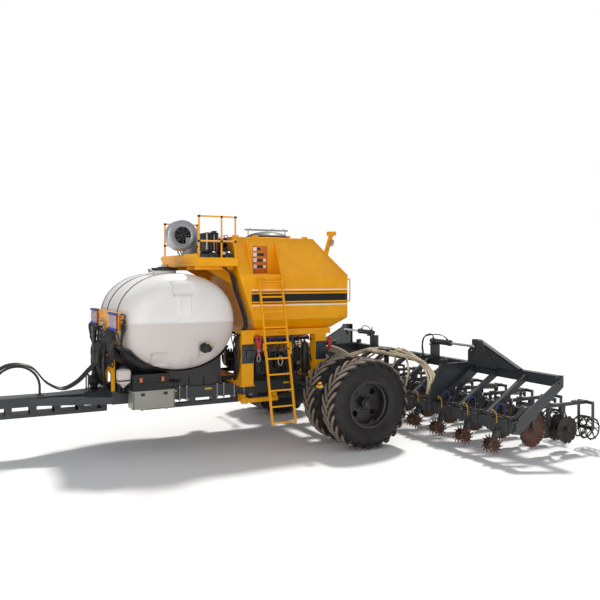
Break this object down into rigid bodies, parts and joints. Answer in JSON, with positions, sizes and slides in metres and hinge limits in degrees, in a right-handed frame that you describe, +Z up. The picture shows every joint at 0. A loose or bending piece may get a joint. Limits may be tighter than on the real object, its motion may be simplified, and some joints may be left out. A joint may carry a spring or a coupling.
{
  "type": "trailed nutrient cart",
  "caption": "Trailed farm cart with an oval liquid tank, a dry hopper on posts, dual wheels, a folding ladder and a folding strip-till toolbar behind.",
  "frame": {"origin": "the ground point under the middle of the machine's footprint", "axes": "+X from the hitch to the rear, +Y to the machine's right-hand side, +Z up"},
  "size_m": [12.105, 9.144, 4.447],
  "materials": {
    "yellow_steel": "gloss",
    "graphite_steel": "satin",
    "black_steel": "satin",
    "rust_steel": "rough",
    "white_plastic": "satin",
    "black_plastic": "matte",
    "tyre_rubber": "matte",
    "hose_rubber": "matte",
    "clear_plastic": "gloss",
    "grey_paint": "satin",
    "bare_metal": "brushed",
    "bright_steel": "polished"
  },
  "bodies": {
    "chassis": {"tongue": "graphite_steel", "hitch_clevis": "graphite_steel", "jack_tube": "graphite_steel", "main_frame": "graphite_steel", "hose_hoop": "graphite_steel", "hose_bundle": "hose_rubber", "tank_cradle": "black_steel", "liquid_tank": "white_plastic", "tank_valve": "black_steel", "rinse_tank": "white_plastic", "toolbox_bin": "black_plastic", "side_cabinet": "grey_paint", "manifold_plate": "yellow_steel", "flow_tubes": "clear_plastic", "product_pump": "black_steel", "hopper_shell": "yellow_steel", "hopper_frame": "yellow_steel", "platform": "yellow_steel", "ladder_upper": "yellow_steel", "fan_housing": "bare_metal", "compressor": "black_steel", "meter_box": "bare_metal", "axle_beam": "graphite_steel", "marker_lamps": "yellow_steel", "rear_mast": "yellow_steel"},
    "jack_foot": {"jack_leg": "bright_steel"},
    "tank_cap": {"tank_lid": "black_plastic"},
    "valve_lever": {"valve_handle": "yellow_steel"},
    "toolbox_top": {"toolbox_lid": "black_plastic"},
    "cabinet_front": {"cabinet_door": "grey_paint"},
    "hopper_cap": {"hopper_lid": "black_plastic"},
    "step_section": {"ladder_lower": "yellow_steel"},
    "fan_wheel": {"fan_rotor": "graphite_steel"},
    "wheels_left": {"rims_left": "black_steel", "tyres_left": "tyre_rubber"},
    "wheels_right": {"rims_right": "black_steel", "tyres_right": "tyre_rubber"},
    "lift_lower": {"lower_arms": "yellow_steel"},
    "lift_upper": {"upper_arms": "yellow_steel"},
    "bar_center": {"toolbar_center": "graphite_steel", "fold_barrels": "black_steel"},
    "bar_left": {"wing_left": "graphite_steel"},
    "bar_right": {"wing_right": "graphite_steel"},
    "ram_left": {"rod_left": "bright_steel"},
    "ram_right": {"rod_right": "bright_steel"},
    "row_units_center": {"row_arms_center": "graphite_steel"},
    "cleaner_wheels_center": {"cleaners_center": "rust_steel"},
    "coulter_discs_center": {"coulters_center": "rust_steel"},
    "closing_discs_center": {"closers_center": "black_steel"},
    "basket_cages_center": {"baskets_center": "black_steel"},
    "row_units_left": {"row_arms_left": "graphite_steel"},
    "cleaner_wheels_left": {"cleaners_left": "rust_steel"},
    "coulter_discs_left": {"coulters_left": "rust_steel"},
    "closing_discs_left": {"closers_left": "black_steel"},
    "basket_cages_left": {"baskets_left": "black_steel"},
    "row_units_right": {"row_arms_right": "graphite_steel"},
    "cleaner_wheels_right": {"cleaners_right": "rust_steel"},
    "coulter_discs_right": {"coulters_right": "rust_steel"},
    "closing_discs_right": {"closers_right": "black_steel"},
    "basket_cages_right": {"baskets_right": "black_steel"}
  },
  "joints": [
    {"name": "jack_travel", "type": "slide", "parent": "chassis", "child": "jack_foot", "axis": [0, 0, 1], "range_m": [0, 0.38]},
    {"name": "left_wheels_spin", "type": "hinge", "parent": "chassis", "child": "wheels_left", "pos_m": [2.0225, -1.524, 0.86], "axis": [0, 1, 0], "continuous": true},
    {"name": "right_wheels_spin", "type": "hinge", "parent": "chassis", "child": "wheels_right", "pos_m": [2.0225, 1.524, 0.86], "axis": [0, 1, 0], "continuous": true},
    {"name": "tank_lid_open", "type": "hinge", "parent": "chassis", "child": "tank_cap", "pos_m": [-1.5525, 0, 3.424], "axis": [0, -1, 0], "range_deg": [0, 110]},
    {"name": "valve_turn", "type": "hinge", "parent": "chassis", "child": "valve_lever", "pos_m": [-0.8819, -1.48, 2.0344], "axis": [0, 0, 1], "range_deg": [-90, 0]},
    {"name": "toolbox_lid_open", "type": "hinge", "parent": "chassis", "child": "toolbox_top", "pos_m": [-1.7975, -0.657, 1.4], "axis": [-1, 0, 0], "range_deg": [0, 5]},
    {"name": "cabinet_door_open", "type": "hinge", "parent": "chassis", "child": "cabinet_front", "pos_m": [-1.7475, -1.04, 0.856], "axis": [1, 0, 0], "range_deg": [0, 90]},
    {"name": "hopper_lid_open", "type": "hinge", "parent": "chassis", "child": "hopper_cap", "pos_m": [1.4825, 0, 4.143], "axis": [0, 1, 0], "range_deg": [0, 100]},
    {"name": "ladder_fold", "type": "hinge", "parent": "chassis", "child": "step_section", "pos_m": [0.4975, -1.60385, 1.91012], "axis": [-1, 0, 0], "range_deg": [0, 155]},
    {"name": "fan_spin", "type": "hinge", "parent": "chassis", "child": "fan_wheel", "pos_m": [-0.9175, 0, 4.115], "axis": [0, 1, 0], "continuous": true},
    {"name": "toolbar_lift", "type": "hinge", "parent": "chassis", "child": "lift_lower", "pos_m": [2.9625, 0, 0.68], "axis": [0, -1, 0], "range_deg": [-14, 40]},
    {"name": "upper_link_swing", "type": "hinge", "parent": "chassis", "child": "lift_upper", "pos_m": [2.9625, 0, 1.11], "axis": [0, -1, 0], "range_deg": [-14, 40]},
    {"name": "toolbar_level", "type": "hinge", "parent": "lift_lower", "child": "bar_center", "pos_m": [3.5225, 0, 0.68], "axis": [0, -1, 0], "range_deg": [-40, 14]},
    {"name": "left_wing_fold", "type": "hinge", "parent": "bar_center", "child": "bar_left", "pos_m": [4.6325, -2.286, 1.56], "axis": [-1, 0, 0], "range_deg": [0, 90]},
    {"name": "left_ram_travel", "type": "slide", "parent": "bar_center", "child": "ram_left", "axis": [0, 1, 0], "range_m": [0, 0.6005]},
    {"name": "right_wing_fold", "type": "hinge", "parent": "bar_center", "child": "bar_right", "pos_m": [4.6325, 2.286, 1.56], "axis": [1, 0, 0], "range_deg": [0, 90]},
    {"name": "right_ram_travel", "type": "slide", "parent": "bar_center", "child": "ram_right", "axis": [0, -1, 0], "range_m": [0, 0.6005]},
    {"name": "center_rows_float", "type": "hinge", "parent": "bar_center", "child": "row_units_center", "pos_m": [3.8225, 0, 0.66], "axis": [0, -1, 0], "range_deg": [0, 12]},
    {"name": "center_cleaners_spin", "type": "hinge", "parent": "bar_center", "child": "cleaner_wheels_center", "pos_m": [3.4525, 0, 0.33], "axis": [0, 1, 0], "continuous": true},
    {"name": "center_coulters_spin", "type": "hinge", "parent": "row_units_center", "child": "coulter_discs_center", "pos_m": [4.4225, 0, 0.48], "axis": [0, 1, 0], "continuous": true},
    {"name": "center_closers_spin", "type": "hinge", "parent": "row_units_center", "child": "closing_discs_center", "pos_m": [5.1825, 0, 0.43], "axis": [0, 1, 0], "continuous": true},
    {"name": "center_baskets_spin", "type": "hinge", "parent": "row_units_center", "child": "basket_cages_center", "pos_m": [5.8225, 0, 0.39], "axis": [0, 1, 0], "continuous": true},
    {"name": "left_rows_float", "type": "hinge", "parent": "bar_left", "child": "row_units_left", "pos_m": [3.8225, -3.429, 0.66], "axis": [0, -1, 0], "range_deg": [0, 12]},
    {"name": "left_cleaners_spin", "type": "hinge", "parent": "bar_left", "child": "cleaner_wheels_left", "pos_m": [3.4525, -3.429, 0.33], "axis": [0, 1, 0], "continuous": true},
    {"name": "left_coulters_spin", "type": "hinge", "parent": "row_units_left", "child": "coulter_discs_left", "pos_m": [4.4225, -3.429, 0.48], "axis": [0, 1, 0], "continuous": true},
    {"name": "left_closers_spin", "type": "hinge", "parent": "row_units_left", "child": "closing_discs_left", "pos_m": [5.1825, -3.429, 0.43], "axis": [0, 1, 0], "continuous": true},
    {"name": "left_baskets_spin", "type": "hinge", "parent": "row_units_left", "child": "basket_cages_left", "pos_m": [5.8225, -3.429, 0.39], "axis": [0, 1, 0], "continuous": true},
    {"name": "right_rows_float", "type": "hinge", "parent": "bar_right", "child": "row_units_right", "pos_m": [3.8225, 3.429, 0.66], "axis": [0, -1, 0], "range_deg": [0, 12]},
    {"name": "right_cleaners_spin", "type": "hinge", "parent": "bar_right", "child": "cleaner_wheels_right", "pos_m": [3.4525, 3.429, 0.33], "axis": [0, 1, 0], "continuous": true},
    {"name": "right_coulters_spin", "type": "hinge", "parent": "row_units_right", "child": "coulter_discs_right", "pos_m": [4.4225, 3.429, 0.48], "axis": [0, 1, 0], "continuous": true},
    {"name": "right_closers_spin", "type": "hinge", "parent": "row_units_right", "child": "closing_discs_right", "pos_m": [5.1825, 3.429, 0.43], "axis": [0, 1, 0], "continuous": true},
    {"name": "right_baskets_spin", "type": "hinge", "parent": "row_units_right", "child": "basket_cages_right", "pos_m": [5.8225, 3.429, 0.39], "axis": [0, 1, 0], "continuous": true}
  ],
  "couplings": [
    {"joint": "upper_link_swing", "follows": "toolbar_lift", "ratio": 1},
    {"joint": "toolbar_level", "follows": "toolbar_lift", "ratio": -1},
    {"joint": "left_ram_travel", "follows": "left_wing_fold", "m_per_rad": 0.38197},
    {"joint": "right_ram_travel", "follows": "right_wing_fold", "m_per_rad": 0.38197}
  ]
}
